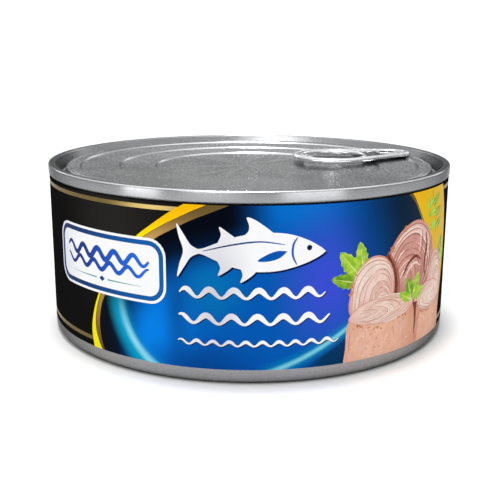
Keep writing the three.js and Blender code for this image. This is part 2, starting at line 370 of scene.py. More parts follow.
INKS = {
    "ink_black": ink("ink_black", paint_black_with_highlight, rough=0.36, spec=0.0),
    "ink_gold_line": ink("ink_gold_line", paint_gold_line, metal=0.25, rough=0.34),
    "ink_yellow": ink("ink_yellow", paint_yellow),
    "ink_gold_band": ink("ink_gold_band", paint_gold_band, metal=0.2, rough=0.36),
    "ink_blue": ink("ink_blue", paint_blue, rough=0.33, mottle=0.03),
    "ink_white": ink("ink_white", paint_white, mottle=0.02),
    "ink_plate": ink("ink_plate", paint_plate_with_shade, mottle=0.02),
    "ink_border": ink("ink_border", paint_border),
    "ink_crest": ink("ink_crest", paint_crest),
    "ink_teal": ink("ink_teal", flat(60, 150, 160)),
    "ink_shadow": ink("ink_shadow", flat(6, 26, 72)),
    "ink_flesh_line": ink("ink_flesh_line", flesh((214, 164, 148), (196, 142, 126), angle=0.8)),
    "ink_flesh_ridge": ink("ink_flesh_ridge", flesh((248, 230, 218), (236, 210, 194), angle=0.3)),
    "ink_groove": ink("ink_groove", flesh((184, 118, 104), (160, 94, 82), angle=0.8)),
    "ink_tone_back": ink("ink_tone_back", flesh((222, 166, 154), (202, 142, 130), (166, 102, 92), (35.0, 22.5), (10.5, 9.0), 0.9)),
    "ink_pale_back": ink("ink_pale_back", flesh((246, 214, 204), (230, 188, 176), (196, 138, 124), (35.0, 22.5), (10.5, 9.0), 0.9)),
    "ink_tone_left": ink("ink_tone_left", flesh((240, 202, 188), (222, 176, 160), (200, 142, 124), (24.0, 18.5), (7.5, 8.0), 1.2)),
    "ink_tone_right": ink("ink_tone_right", flesh((234, 200, 186), (214, 172, 156), (188, 136, 120), (46.0, 15.0), (5.5, 8.5), 1.5)),
    "ink_tone_top": ink("ink_tone_top", flesh((242, 210, 196), (226, 186, 168), (214, 162, 142), (28.0, 12.4), (11.0, 4.0), 0.0)),
    "ink_tone_top2": ink("ink_tone_top2", flesh((240, 206, 192), (222, 180, 162), (206, 156, 138), (43.5, 12.0), (9.0, 4.4), 0.0)),
    "ink_flesh_deep": ink("ink_flesh_deep", flesh((136, 72, 56), (96, 42, 34), angle=0.6)),
    "ink_flesh_edge": ink("ink_flesh_edge", flesh((224, 164, 144), (204, 140, 120), angle=0.2)),
    "ink_crust": ink("ink_crust", flesh((214, 152, 106), (188, 120, 78), angle=0.1)),
    "ink_meat_back": ink("ink_meat_back", flesh((236, 186, 174), (218, 160, 148), (184, 120, 108), (35.0, 22.5), (10.5, 9.0), 0.9)),
    "ink_meat_left": ink("ink_meat_left", flesh((248, 218, 206), (234, 194, 180), (214, 160, 142), (24.0, 18.5), (7.5, 8.0), 1.2)),
    "ink_meat_right": ink("ink_meat_right", flesh((244, 216, 204), (226, 188, 174), (200, 152, 136), (46.0, 15.0), (5.5, 8.5), 1.5)),
    "ink_meat_top": ink("ink_meat_top", flesh((250, 226, 214), (238, 204, 188), (226, 178, 158), (28.0, 12.4), (11.0, 4.0), 0.0)),
    "ink_meat_top2": ink("ink_meat_top2", flesh((248, 222, 210), (234, 198, 182), (218, 170, 152), (43.5, 12.0), (9.0, 4.4), 0.0)),
    "ink_side_left": ink("ink_side_left", flesh((244, 194, 170), (236, 180, 154), (214, 150, 124), (26.0, 6.0), (13.0, 8.5), 1.3, 0.7, 1.6, 0.35)),
    "ink_side_right": ink("ink_side_right", flesh((240, 188, 162), (230, 172, 146), (202, 138, 112), (41.5, 6.5), (11.0, 8.0), 1.5, 0.7, 1.6, 0.35)),
    "ink_leaf": ink("ink_leaf", leaf_paint((190, 220, 76), (136, 190, 50))),
    "ink_leaf_dark": ink("ink_leaf_dark", leaf_paint((150, 192, 56), (96, 150, 36))),
    "ink_leaf_vein": ink("ink_leaf_vein", leaf_paint((228, 238, 156), (204, 226, 112))),
    "ink_panel": ink("ink_panel", flat(206, 204, 198), mottle=0.03),
    "ink_rule": ink("ink_rule", flat(92, 92, 96)),
}


# ---- materials: bare metal ------------------------------------------------------
def metal(name, base, rough, streak="round", aniso=0.0, grain=0.5, spread=0.07, relief=0.22, edge=0.6):
    """Bare can metal. streak: 'round' runs round the axis, 'radial' away from it, 'along' along the ring pull."""
    n = Nodes(name)
    x, y, z, v = n.xyz()
    angle, dist = n.polar()
    ca, sa = n.math("COSINE", angle), n.math("SINE", angle)
    if streak == "round":
        lines = n.noise(n.vec(n.mul(ca, 2.0), n.mul(sa, 2.0), n.mul(n.add(dist, z), 9.0)), 1.0, 4.0, 0.6)
    elif streak == "radial":  # rolled sheet with a faint burst from the middle
        burst = n.noise(n.vec(n.mul(ca, 9.0), n.mul(sa, 9.0), n.mul(dist, 0.05)), 1.0, 3.0, 0.6)
        rolled = n.noise(n.vec(n.mul(x, 2.3), n.mul(y, 0.42), 0.0), 1.0, 4.0, 0.72, 0.5)
        lines = n.math("ADD", n.mul(n.sub(burst, 0.5), n.ramp(dist, 26.0, 7.0, 0.0, 0.9)), rolled)
    else:
        c, s_ = math.cos(TAB_ANGLE), math.sin(TAB_ANGLE)
        u = n.add(n.mul(x, c), n.mul(y, s_))
        w = n.sub(n.mul(y, c), n.mul(x, s_))
        lines = n.noise(n.vec(n.mul(u, 0.35), n.mul(w, 5.0), n.mul(z, 5.0)), 1.0, 4.0, 0.6)
    fine = n.noise(v, 1.7, 4.0, 0.7)
    broad = n.noise(v, 0.11, 3.0, 0.5)
    mixd = n.add(n.mul(lines, 0.48), n.add(n.mul(fine, 0.34), n.mul(broad, 0.18)))
    lo = tuple(b * (1 - spread * 2.2) for b in base[:3]) + (1.0,)
    hi = tuple(min(1.0, b * (1 + spread * 1.8)) for b in base[:3]) + (1.0,)
    n.set(color=n.mix(n.ramp(mixd, 0.38, 0.62, smooth=False), lo, hi), metal=1.0)
    n.set(rough=n.ramp(mixd, 0.35, 0.65, rough - 0.05, rough + 0.05))
    n.p.inputs["Specular Tint"].default_value = (edge, edge, edge, 1.0)
    if aniso:  # rolling lines run round the axis, so light spreads up and down
        tangent = n.t.nodes.new("ShaderNodeTangent")
        tangent.direction_type = "RADIAL"
        tangent.axis = "Z"
        n.t.links.new(tangent.outputs[0], n.p.inputs["Tangent"])
        n.set(aniso=aniso)
        n.p.inputs["Anisotropic Rotation"].default_value = 0.25
    n.bump(n.add(n.mul(lines, 0.8), n.mul(fine, grain)), relief, 0.00006)
    return n.m


seam_metal = metal("seam_metal", rgb(150, 151, 153), 0.27, "round", aniso=0.8, grain=0.0, spread=0.008, relief=0.015, edge=0.35)
# Painted highlight: the rounded top of the seam is a much lighter copy of the seam metal, for a bright line along the
# rim.
rim_highlight_metal = metal("rim_highlight_metal", rgb(236, 237, 239), 0.22, "round", grain=0.0, spread=0.02, relief=0.02, edge=0.12)
# Painted highlight: the steps of the panel are a lighter copy of the panel metal, for bright lines along them.
step_highlight_metal = metal("step_highlight_metal", rgb(206, 207, 209), 0.24, "round", grain=0.0, spread=0.02, relief=0.03, edge=0.2)
chuck_metal = metal("chuck_metal", rgb(166, 167, 168), 0.30, "round", grain=0.2, spread=0.05, relief=0.10, edge=0.10)
lid_metal = metal("lid_metal", rgb(164, 165, 166), 0.25, "radial", grain=0.35, spread=0.10, relief=0.16, edge=0.6)
ring_metal = metal("ring_metal", rgb(232, 233, 235), 0.22, "along", grain=0.2, spread=0.04, relief=0.10, edge=0.8)
# Painted shade: the flat web of the ring pull is a darker copy of the ring pull's metal, so it reads grey beside the
# bright rim.
web_shade_metal = metal("web_shade_metal", rgb(158, 159, 161), 0.28, "along", grain=0.2, spread=0.04, relief=0.10, edge=0.2)
# Painted shade: the rivet's middle is a darker copy of the metal, while its top ring takes the bright ring pull metal.
rivet_shade_metal = metal("rivet_shade_metal", rgb(136, 137, 139), 0.3, "round", grain=0.2, spread=0.04, relief=0.08, edge=0.1)
heel_metal = metal("heel_metal", rgb(146, 145, 145), 0.27, "round", aniso=0.35, grain=0.2, spread=0.03, relief=0.08, edge=0.35)
# Painted shadow: a near-black copy of the heel metal on the lowest part of the heel, for the dark line where the can
# meets the floor.
foot_shadow_metal = metal("foot_shadow_metal", rgb(50, 49, 49), 0.5, "round", grain=0.6, spread=0.06, edge=0.2)
base_metal = metal("base_metal", rgb(176, 176, 176), 0.34, "round", grain=0.7, spread=0.08)

# ---- flat shapes of the print, in (s, z) millimetres -----------------------------
Z0, Z1 = PRINT_FOOT, WALL_TOP
HALF_TURN = math.pi * WALL
shapes = []  # (points, ink), painted in this order


def paint(points, name):
    """Adds a shape in one ink. The front of the print is drawn in by a little, and the back isn't."""
    out = []
    for s, z in points:
        out.append((s * (0.984 + 0.016 * min(1.0, max(0.0, (abs(s) - 56.0) / 30.0))), float(z)))
    shapes.append((out, "ink_" + name))


def smooth_line(points, steps=6):
    """A Catmull-Rom curve through the points."""
    p = [points[0], *points, points[-1]]
    out = []
    for i in range(1, len(p) - 2):
        for k in range(steps):
            t = k / steps
            out.append(tuple(
                0.5 * (2 * p[i][j] + (p[i + 1][j] - p[i - 1][j]) * t
                       + (2 * p[i - 1][j] - 5 * p[i][j] + 4 * p[i + 1][j] - p[i + 2][j]) * t * t
                       + (3 * p[i][j] - p[i - 1][j] - 3 * p[i + 1][j] + p[i + 2][j]) * t ** 3)
                for j in (0, 1)))
    out.append(tuple(points[-1]))
    return out


def oval(cx, cz, rx, rz, turn=0.0, n=56, a0=0.0, a1=360.0):
    c, s = math.cos(math.radians(turn)), math.sin(math.radians(turn))
    closed = a1 - a0 >= 360
    out = []
    for i in range(n if closed else n + 1):
        a = math.radians(a0 + (a1 - a0) * i / n)
        x, y = rx * math.cos(a), rz * math.sin(a)
        out.append((cx + x * c - y * s, cz + x * s + y * c))
    return out


def round_box(cx, cz, w, h, r, n=6):
    out = []
    for kx, kz, a in ((1, 1, 0), (-1, 1, 90), (-1, -1, 180), (1, -1, 270)):
        for i in range(n + 1):
            t = math.radians(a + 90 * i / n)
            out.append((cx + kx * (w / 2 - r) + r * math.cos(t), cz + kz * (h / 2 - r) + r * math.sin(t)))
    return out


def stroke(line, width):
    """A ribbon along a line. width is a number, or a function of 0..1 along it."""
    left, right = [], []
    n = len(line)
    for i, (x, y) in enumerate(line):
        ax, ay = line[max(0, i - 1)]
        bx, by = line[min(n - 1, i + 1)]
        dx, dy = bx - ax, by - ay
        d = math.hypot(dx, dy) or 1.0
        w = (width(i / (n - 1)) if callable(width) else width) / 2
        left.append((x - dy / d * w, y + dx / d * w))
        right.append((x + dy / d * w, y - dx / d * w))
    return left + right[::-1]


def taper(w, lo=0.08):
    return lambda t: lo + (w - lo) * math.sin(math.pi * min(1.0, max(0.0, t))) ** 0.6


def shift(points, dx, dz):
    return [(x + dx, z + dz) for x, z in points]


# fine gold lines all the way round
for low, high in ((32.05, 32.85), (4.15, 4.95)):
    paint([(-HALF_TURN, low), (HALF_TURN, low), (HALF_TURN, high), (-HALF_TURN, high)], "gold_line")

# the blue field between two curved bands
outer_left = smooth_line([(-10.8, 34.0), (-14.7, 31.8), (-18.9, 28.9), (-21.7, 26.8), (-26.2, 22.6), (-29.6, 18.4),
                          (-31.9, 14.1), (-33.1, 11.6), (-33.9, 9.3), (-34.35, 7.2), (-34.35, 5.3), (-34.0, 3.5), (-33.5, 1.5)])
middle_left = smooth_line([(-6.3, 34.0), (-10.0, 32.4), (-13.3, 30.8), (-16.0, 29.4), (-20.4, 26.7), (-25.5, 22.4), (-29.2, 18.0),
                           (-31.4, 14.1), (-32.5, 11.5), (-33.1, 8.9), (-33.1, 6.9), (-32.6, 5.1), (-31.8, 3.5), (-30.2, 1.5)])
inner_left = smooth_line([(-2.2, 34.0), (-6.3, 32.3), (-10.0, 30.8), (-13.4, 29.1), (-18.5, 26.2), (-23.6, 22.0), (-27.6, 17.8),
                          (-30.1, 14.1), (-31.2, 11.8), (-31.8, 9.2), (-31.85, 7.2), (-31.5, 5.0), (-30.8, 3.3), (-29.7, 1.5)])
inner_right = smooth_line([(33.0, 34.0), (35.3, 32.2), (36.6, 30.9), (39.2, 27.2), (41.4, 22.0), (42.2, 16.0), (41.4, 9.5), (38.6, 1.5)])
middle_right = smooth_line([(34.5, 34.0), (36.3, 32.0), (38.1, 29.6), (40.6, 26.0), (42.9, 20.8), (43.7, 15.6), (42.9, 9.0), (40.4, 1.5)])
outer_right = smooth_line([(49.0, 34.0), (50.6, 31.4), (51.9, 28.2), (52.8, 24.4), (53.1, 20.0), (52.7, 15.0), (51.4, 9.4), (48.6, 1.5)])
paint(outer_left + outer_right[::-1], "yellow")
paint(middle_left + middle_right[::-1], "black")
paint([(x + 0.17, z) for x, z in middle_left] + [(x - 0.14, z) for x, z in middle_right[::-1]], "gold_band")
paint(inner_left + inner_right[::-1], "blue")

paint([(15.9, 1.5), (17.4, 2.25), (19.2, 3.1), (21.5, 4.4), (23.0, 4.4), (23.0, 1.5)], "gold_band")
paint([(16.6, 1.5), (18.0, 2.2), (19.8, 3.0), (21.5, 4.0), (23.0, 4.0), (23.0, 1.5)], "yellow")

# plain badge on the left: a white panel in a blue frame, with a row of waves
BX, BZ = -30.7, 20.5
paint(round_box(BX, BZ, 30.4, 12.4, 3.4), "plate")
paint(round_box(BX, BZ, 29.4, 11.4, 3.0), "border")
paint(round_box(BX, BZ, 27.6, 9.6, 2.2), "plate")
for k, (zc, wd, amp) in enumerate(((22.15, 1.15, 0.95), (19.9, 0.95, 0.8))):
    line = [(BX - 11.6 + 0.25 * i, zc + amp * math.sin((0.25 * i) * 2 * math.pi / 4.64 + 1.7 * k)) for i in range(94)]
    paint(stroke(line, lambda t, wd=wd: wd * (0.35 + 0.65 * math.sin(math.pi * min(1, max(0, t))) ** 0.5)), "crest")
for side in (-1, 1):
    line = [(BX + side * (1.6 + 0.25 * i), 17.35) for i in range(34)]
    paint(stroke(line, lambda t: 0.22 * (1 - t) + 0.04), "teal")
paint([(BX - 0.8, 17.35), (BX, 17.9), (BX + 0.8, 17.35), (BX, 16.8)], "border")


# a plain white fish where the largest print stands, with waves below it
def fish(cx, cz, length, height):
    """Outline of a plain fish, head to the right. Returns its closed shapes."""
    def at(points, steps=8):
        return smooth_line([(cx + u * length, cz + w * height) for u, w in points], steps)

    body = at([(-0.40, 0.05), (-0.33, 0.08), (-0.22, 0.24), (-0.08, 0.41), (0.08, 0.49), (0.24, 0.45), (0.37, 0.29), (0.46, 0.10), (0.50, -0.02)])
    body += at([(0.50, -0.02), (0.44, -0.16), (0.33, -0.32), (0.18, -0.45), (0.02, -0.47), (-0.12, -0.37), (-0.24, -0.21), (-0.33, -0.07), (-0.40, -0.05)])
    tail = at([(-0.36, 0.06), (-0.41, 0.16), (-0.455, 0.40), (-0.505, 0.66), (-0.49, 0.34), (-0.462, 0.0), (-0.49, -0.34), (-0.505, -0.66), (-0.455, -0.40), (-0.41, -0.16), (-0.36, -0.06)])
    back = at([(0.16, 0.42), (0.10, 0.60), (0.02, 0.80), (-0.035, 0.86), (-0.02, 0.66), (-0.03, 0.50), (-0.08, 0.36)])
    second = at([(-0.10, 0.34), (-0.15, 0.47), (-0.215, 0.62), (-0.205, 0.42), (-0.235, 0.18)])
    belly = at([(0.04, -0.42), (-0.01, -0.60), (-0.075, -0.74), (-0.062, -0.55), (-0.08, -0.36)])
    anal = at([(-0.12, -0.32), (-0.165, -0.46), (-0.225, -0.58), (-0.21, -0.38), (-0.24, -0.16)])
    return [tail, back, second, belly, anal, body]


FISH = (0.6, 25.0, 27.4, 7.4)
fish_parts = fish(*FISH)
for part in fish_parts:
    paint(shift(part, 0.3, -0.32), "shadow")
for part in fish_parts:
    paint(part, "white")
paint(stroke(smooth_line([(8.9, 27.7), (8.1, 26.4), (8.0, 24.4), (8.8, 22.6)], 6), taper(0.42)), "blue")
paint(smooth_line([(7.0, 25.2), (5.2, 25.3), (3.2, 24.6), (1.6, 23.5), (3.6, 23.4), (5.6, 24.0), (7.0, 25.2)], 6)[:-1], "blue")
paint(stroke(smooth_line([(6.6, 26.4), (2.0, 27.0), (-3.0, 26.4), (-8.4, 25.1)], 8), taper(0.3)), "blue")
paint(oval(11.1, 25.7, 0.5, 0.5, n=20), "shadow")


def wave_row(s0, s1, z, amp, period, width, phase=0.0, name="white"):
    n = int((s1 - s0) / 0.3)
    line = [(s0 + (s1 - s0) * i / n, z + amp * math.sin(2 * math.pi * (s1 - s0) * i / n / period + phase)) for i in range(n + 1)]
    turns = 2 * math.pi * (s1 - s0) / period
    ribbon = stroke(line, lambda t: width * (0.8 + 0.28 * math.sin(turns * t + phase)) * min(1.0, 12 * t + 0.25, 12 * (1 - t) + 0.25))
    if name == "white":
        paint(shift(ribbon, 0.16, -0.17), "shadow")
    paint(ribbon, name)


wave_row(-12.9, 14.4, 17.3, 0.78, 4.55, 1.05)
wave_row(-13.1, 15.4, 12.4, 0.78, 4.75, 1.05, 0.9)
wave_row(-13.3, 17.4, 7.9, 0.42, 3.07, 0.62, 0.4)

# ---- the picture of the food: cut pieces of cooked fish with herbs -----------------
seed = np.random.RandomState(11)


def round_off(points, steps=7):
    """A closed smooth outline through the points."""
    p = [points[-1], *points, points[0], points[1]]
    out = []
    for i in range(1, len(p) - 2):
        for k in range(steps):
            t = k / steps
            out.append(tuple(
                0.5 * (2 * p[i][j] + (p[i + 1][j] - p[i - 1][j]) * t
                       + (2 * p[i - 1][j] - 5 * p[i][j] + 4 * p[i + 1][j] - p[i + 2][j]) * t * t
                       + (3 * p[i][j] - p[i - 1][j] - 3 * p[i + 1][j] + p[i + 2][j]) * t ** 3)
                for j in (0, 1)))
    return out


def part_of(outline, fx, fz, k, a0, a1, wave=0.0):
    """The stretch of an outline, drawn in towards (fx, fz) by k, that is seen from there between two angles."""
    n = len(outline)
    angles = [math.degrees(math.atan2(z - fz, x - fx)) % 360 for x, z in outline]
    inside = [(a - a0) % 360 <= (a1 - a0) % 360 for a in angles]
    if all(inside) or not any(inside):
        return []
    first = next(i for i in range(n) if inside[i] and not inside[i - 1])
    out = []
    for j in range(n):
        i = (first + j) % n
        if not inside[i]:
            break
        x, z = outline[i]
        w = k * (1 + wave * math.sin(math.radians(angles[i]) * 5 + k * 9))
        out.append((fx + (x - fx) * w, fz + (z - fz) * w))
    return out


def flakes(outline, fx, fz, ks, a0, a1, tones, groove="flesh_line", width=0.2, ridge="flesh_ridge"):
    """Flakes that lie round a point like the layers of a shell: bands of slightly different tone with fine grooves."""
    for k, inner in zip(ks, ks[1:] + (ks[-1] * 0.55,)):
        k += seed.uniform(-0.012, 0.012)
        phase = seed.uniform(-0.02, 0.02)
        b0, b1 = a0 + seed.uniform(0, 16), a1 - seed.uniform(0, 16)
        name = tones[int(seed.randint(0, len(tones)))]
        outer = part_of(outline, fx, fz, k, b0, b1, 0.02 + phase)
        if len(outer) < 6:
            continue
        if name:
            low = part_of(outline, fx, fz, inner, b0, b1, 0.02 + phase)
            n = len(outer)
            deep = [max(0.0, math.sin(math.pi * i / (n - 1))) ** 0.5 for i in range(n)]
            mid = [(a + (c - a) * w, b + (d - b) * w) for w, (a, b), (c, d) in zip(deep, outer, low)]
            paint(outer + mid[::-1], name)
        cuts = 1 if seed.uniform() < 0.5 else 2
        at = 0
        for q in range(cuts):
            end = len(outer) if q == cuts - 1 else int(len(outer) * seed.uniform(0.4, 0.6))
            if end - at > 5:
                paint(stroke(outer[at:end], taper(width * seed.uniform(0.7, 1.5), 0.03)), groove)
                if ridge and seed.uniform() < 0.75:
                    a, b = at + int((end - at) * seed.uniform(0.0, 0.3)), end - int((end - at) * seed.uniform(0.0, 0.35))
                    lit = [(fx + (x - fx) * 1.03, fz + (z - fz) * 1.03) for x, z in outer[a:b]]
                    if len(lit) > 4:
                        paint(stroke(lit, taper(width * seed.uniform(0.9, 1.7), 0.03)), ridge)
            at = end + 1


def chunk(points, name, edge=0.34):
    """One piece of fish with a slightly darker edge. Returns its outline."""
    outline = round_off(points)
    cx = sum(x for x, _ in outline) / len(outline)
    cz = sum(z for _, z in outline) / len(outline)
    paint(outline, "flesh_edge")
    grow = [(cx + (x - cx) * (1 - edge / max(2.0, math.hypot(x - cx, z - cz))), cz + (z - cz) * (1 - edge / max(2.0, math.hypot(x - cx, z - cz)))) for x, z in outline]
    paint(grow, name)
    return outline


def crumbs(line, count, size):
    """Browned crumbs along a line."""
    for i in range(count):
        x, z = line[int(seed.randint(1, len(line) - 1))]
        paint(oval(x + seed.uniform(-0.3, 0.3), z + seed.uniform(-0.3, 0.3), size * seed.uniform(0.5, 1.3), size * seed.uniform(0.25, 0.6), seed.uniform(0, 180), 12), "crust")


def leaf(cx, cz, angle, length, width, teeth=5, name="leaf"):
    """A toothed leaf from its foot at (cx, cz), pointing at angle degrees."""
    c, s = math.cos(math.radians(angle)), math.sin(math.radians(angle))
    n = teeth * 4
    edge = []
    for i in range(n + 1):
        t = i / n
        w = width / 2 * math.sin(math.pi * t ** 0.8) ** 0.7
        w *= 1 + (0.17 if i % 4 == 2 else -0.06 if i % 4 == 0 else 0.0)
        edge.append((t * length, w))
    pts = edge + [(x, -w) for x, w in edge[1:-1][::-1]]
    paint([(cx + x * c - y * s, cz + x * s + y * c) for x, y in pts], name)
    mid = [(cx + length * 0.92 * t / 6 * c, cz + length * 0.92 * t / 6 * s) for t in range(7)]
    paint(stroke(mid, lambda t: 0.22 * (1 - t) + 0.05), "leaf_vein")


# herbs behind the food
for cx, cz, a, ln, wd, nm in ((21.6, 19.4, 132, 6.6, 3.2, "leaf"), (21.2, 18.2, 168, 5.8, 2.8, "leaf_dark"), (22.4, 20.4, 100, 5.6, 2.7, "leaf"),
                              (48.6, 18.6, 62, 5.0, 2.4, "leaf_dark"), (49.4, 17.4, 24, 4.4, 2.2, "leaf")):
    leaf(cx, cz, a, ln, wd, name=nm)
# a small sprig on the yellow panel
paint(stroke(smooth_line([(43.0, 33.0), (44.2, 30.4), (45.4, 27.6), (46.0, 24.0)], 5), 0.26), "leaf_dark")
for cx, cz, a in ((43.9, 31.0, 200), (44.2, 30.2, 30), (44.9, 28.8, 190), (45.3, 27.8, 20), (45.6, 26.4, 200), (46.0, 25.2, 28)):
    leaf(cx, cz, a, 3.4, 1.7, 3, "leaf_dark" if a < 100 else "leaf")

# dark hollow between the pieces
paint(round_off([(26.0, 12.0), (29.0, 18.0), (34.0, 16.0), (42.0, 17.0), (45.5, 12.0), (46.0, 6.0), (35.0, 4.0), (27.0, 7.0)]), "flesh_deep")
# a tall piece at the back, its flakes sweeping up from the lower left
back = chunk([(28.4, 15.8), (27.9, 20.0), (29.8, 24.4), (33.2, 27.2), (37.8, 28.0), (41.8, 26.0), (44.6, 22.0), (44.7, 17.6), (42.0, 14.2), (36.6, 13.2), (31.4, 13.2)], "meat_back")
flakes(back, 33.4, 16.2, (0.95, 0.85, 0.77, 0.66, 0.57, 0.46, 0.34, 0.22), -16, 156, ("tone_back", "pale_back", None, "tone_back"), "groove", 0.26)
for line, w, nm in (([(40.9, 25.2), (41.5, 22.4), (40.8, 19.0), (41.2, 16.2)], 0.7, "flesh_deep"), ([(41.6, 25.0), (42.2, 22.2), (41.6, 19.2)], 0.4, "flesh_ridge"),
                    ([(43.2, 23.2), (43.2, 20.4), (42.7, 17.4)], 0.45, "groove"), ([(39.3, 25.9), (39.6, 23.2), (39.0, 20.6)], 0.4, "groove"),
                    ([(38.7, 26.0), (38.8, 23.6), (38.3, 21.2)], 0.35, "flesh_ridge"), ([(33.0, 17.6), (34.6, 19.8), (37.2, 20.9), (39.2, 19.8)], 0.62, "flesh_deep"),
                    ([(33.6, 17.0), (35.2, 18.9), (37.2, 19.6), (38.8, 18.7)], 0.4, "flesh_ridge")):
    paint(stroke(smooth_line(line, 6), taper(w, 0.05)), nm)
crumbs(part_of(back, 35.0, 20.0, 0.955, 95, 165), 9, 0.6)
# an upright piece on the right
right_piece = chunk([(42.8, 8.4), (42.2, 13.6), (43.2, 18.0), (45.8, 20.6), (49.0, 19.4), (50.9, 15.4), (51.2, 10.0), (50.4, 6.6), (44.4, 6.4)], "meat_right")
flakes(right_piece, 50.6, 8.2, (0.93, 0.82, 0.70, 0.57, 0.43, 0.30), 88, 186, ("tone_right", None))
paint(smooth_line([(27.6, 22.0), (29.0, 19.6), (29.6, 15.6), (29.2, 12.0)], 6) + smooth_line([(31.0, 12.0), (31.5, 15.4), (30.7, 19.5), (28.3, 22.9)], 6), "flesh_deep")
paint(smooth_line([(28.3, 22.9), (30.7, 19.5), (31.5, 15.4), (31.0, 12.0)], 6) + smooth_line([(31.7, 12.0), (32.2, 15.4), (31.3, 19.6), (28.6, 23.2)], 6), "groove")
# a rounded piece on the left
left_piece = chunk([(19.8, 12.0), (19.6, 16.2), (21.0, 20.2), (24.2, 22.7), (27.8, 22.2), (30.1, 19.2), (30.6, 15.0), (29.6, 11.4), (24.4, 10.4)], "meat_left")
flakes(left_piece, 28.4, 12.6, (0.94, 0.84, 0.73, 0.63, 0.51, 0.38, 0.25), 58, 190, ("tone_left", None, "flesh_ridge"), "flesh_line", 0.2)
crumbs(part_of(left_piece, 25.0, 16.5, 0.96, 120, 200), 6, 0.5)

# two blocks in front: a smooth side, and a flaked top
side = round_off([(36.6, 0.6), (36.2, 6.4), (37.0, 10.2), (41.4, 9.2), (46.0, 9.3), (50.3, 10.2), (50.9, 6.0), (50.0, 0.6), (43.0, 0.2)])
paint(side, "side_right")
top = chunk([(36.9, 10.3), (38.4, 12.9), (42.4, 14.6), (47.0, 14.2), (50.0, 12.4), (50.4, 10.4), (46.0, 8.8), (41.3, 8.6)], "meat_top2", 0.22)
flakes(top, 49.0, 11.0, (0.92, 0.78, 0.65, 0.50, 0.34, 0.20), 130, 232, ("tone_top2", None, "flesh_ridge"), "flesh_line", 0.18)
paint(smooth_line([(36.2, 11.6), (36.9, 8.6), (37.0, 5.4), (37.2, 1.6)], 6) + smooth_line([(37.6, 1.6), (38.2, 5.4), (38.4, 8.8), (38.6, 11.4)], 6), "flesh_deep")
paint(smooth_line([(38.4, 11.0), (38.3, 8.0), (38.0, 5.0), (37.6, 2.0)], 6) + smooth_line([(38.5, 2.0), (39.2, 5.0), (39.6, 8.0), (39.7, 10.2)], 6), "flesh_edge")
side = round_off([(19.3, 0.6), (18.9, 6.0), (19.5, 10.8), (23.0, 10.4), (28.0, 10.2), (33.0, 10.6), (36.8, 11.3), (37.7, 6.0), (37.0, 0.6), (28.0, 0.2)])
paint(side, "side_left")
top = chunk([(19.4, 10.9), (21.2, 13.2), (25.4, 14.5), (30.8, 14.6), (35.2, 13.5), (36.9, 11.5), (33.0, 9.9), (28.0, 9.3), (22.8, 9.7)], "meat_top", 0.22)
flakes(top, 20.9, 11.3, (0.94, 0.84, 0.73, 0.62, 0.51, 0.38, 0.26), -40, 46, ("tone_top", None, "flesh_ridge"), "flesh_line", 0.18)
for pts_, w in (([(30.4, 8.2), (31.0, 6.8), (30.8, 5.6)], 0.2), ([(44.6, 7.4), (44.2, 5.8), (44.8, 4.2)], 0.2), ([(19.9, 8.6), (19.7, 6.6), (19.8, 4.6)], 0.3)):
    paint(stroke(smooth_line(pts_, 5), taper(w, 0.04)), "flesh_edge")
crumbs([(19.8 + 0.75 * i, 9.7 - 0.12 * i) for i in range(12)], 11, 0.42)
crumbs([(31.5 + 0.5 * i, 9.3 + 0.05 * i) for i in range(8)], 6, 0.34)
crumbs([(38.6 + 0.85 * i, 9.0 - 0.08 * i) for i in range(9)], 7, 0.45)
for k in range(46):
    x, z = seed.uniform(20.2, 50.0), seed.uniform(2.9, 8.6)
    if not 36.0 < x < 39.8:
        paint(oval(x, z, seed.uniform(0.1, 0.26), seed.uniform(0.08, 0.2), seed.uniform(0, 180), 10), ("flesh_ridge", "flesh_edge", "flesh_ridge")[k % 3])
# herbs in front
for cx, cz, a, ln, wd, nm in ((36.6, 12.9, 66, 5.0, 2.5, "leaf"), (36.2, 12.7, 112, 4.7, 2.3, "leaf_dark"), (36.6, 12.5, 22, 4.5, 2.1, "leaf"),
                              (36.0, 12.4, 154, 4.2, 2.0, "leaf")):
    leaf(cx, cz, a, ln, wd, name=nm)

# plain table of facts at the back, left empty
PX, PZ, PW, PH = 104.0, 18.4, 50.0, 23.0
paint(round_box(PX, PZ, PW + 1.0, PH + 1.0, 1.3), "gold_line")
paint(round_box(PX, PZ, PW, PH, 0.9), "panel")
for k in range(7):
    z = PZ + PH / 2 - 3.0 - k * 2.85
    paint([(PX - PW / 2 + 2, z), (PX + PW / 2 - 2, z), (PX + PW / 2 - 2, z + (0.42 if k in (0, 6) else 0.2)), (PX - PW / 2 + 2, z + (0.42 if k in (0, 6) else 0.2))], "rule")
for x in (PX - PW / 2 + 26, PX - PW / 2 + 37):
    paint([(x, PZ - PH / 2 + 3.4), (x + 0.2, PZ - PH / 2 + 3.4), (x + 0.2, PZ + PH / 2 - 3.0), (x, PZ + PH / 2 - 3.0)], "rule")
# and the bands again, small, on the other side of the back
for dx, nm, wd in ((0.0, "yellow", 3.0), (2.3, "gold_band", 1.7)):
    line = smooth_line([(-76 + dx, 34.0), (-83 + dx, 27.5), (-89 + dx, 19.0), (-91.5 + dx, 10.0), (-90.5 + dx, 1.5)], 8)
    paint(stroke(line, wd), nm)
    line = smooth_line([(-122 - dx, 34.0), (-115 - dx, 27.5), (-109 - dx, 19.0), (-106.5 - dx, 10.0), (-107.5 - dx, 1.5)], 8)
    paint(stroke(line, wd), nm)


